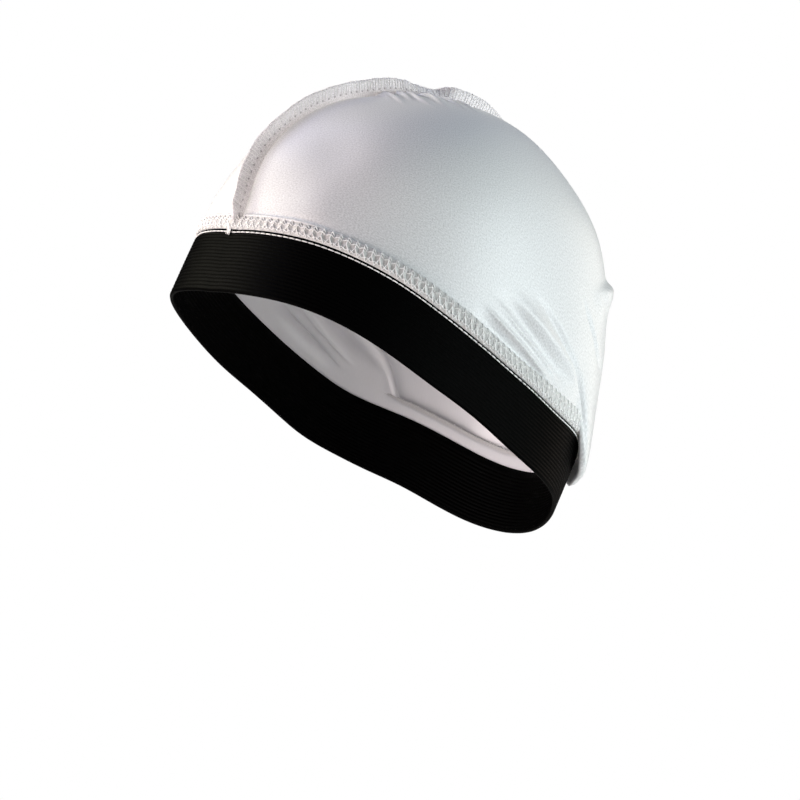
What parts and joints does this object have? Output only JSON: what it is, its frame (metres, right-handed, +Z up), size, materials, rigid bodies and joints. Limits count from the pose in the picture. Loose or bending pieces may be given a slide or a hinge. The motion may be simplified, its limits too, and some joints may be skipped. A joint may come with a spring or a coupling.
{
  "type": "sleep cap",
  "caption": "Close-fitting satin sleep cap with a standing centre seam and a wide ribbed elastic band, shaped as worn.",
  "frame": {"origin": "middle of the head opening, at the lower edge of the band", "axes": "+Z up the wearer's head, -Y the front of the cap, +X the wearer's left"},
  "size_m": [0.141, 0.1929, 0.1855],
  "materials": {
    "satin": "white stretch satin, dull side out, soft sheen",
    "overlock": "white overlocked seam with textured thread",
    "elastic": "black ribbed woven elastic"
  },
  "bodies": {
    "root": {"crown_left": "satin", "crown_right": "satin", "centre_seam": "overlock", "band_seam": "overlock", "band": "elastic"}
  },
  "joints": []
}
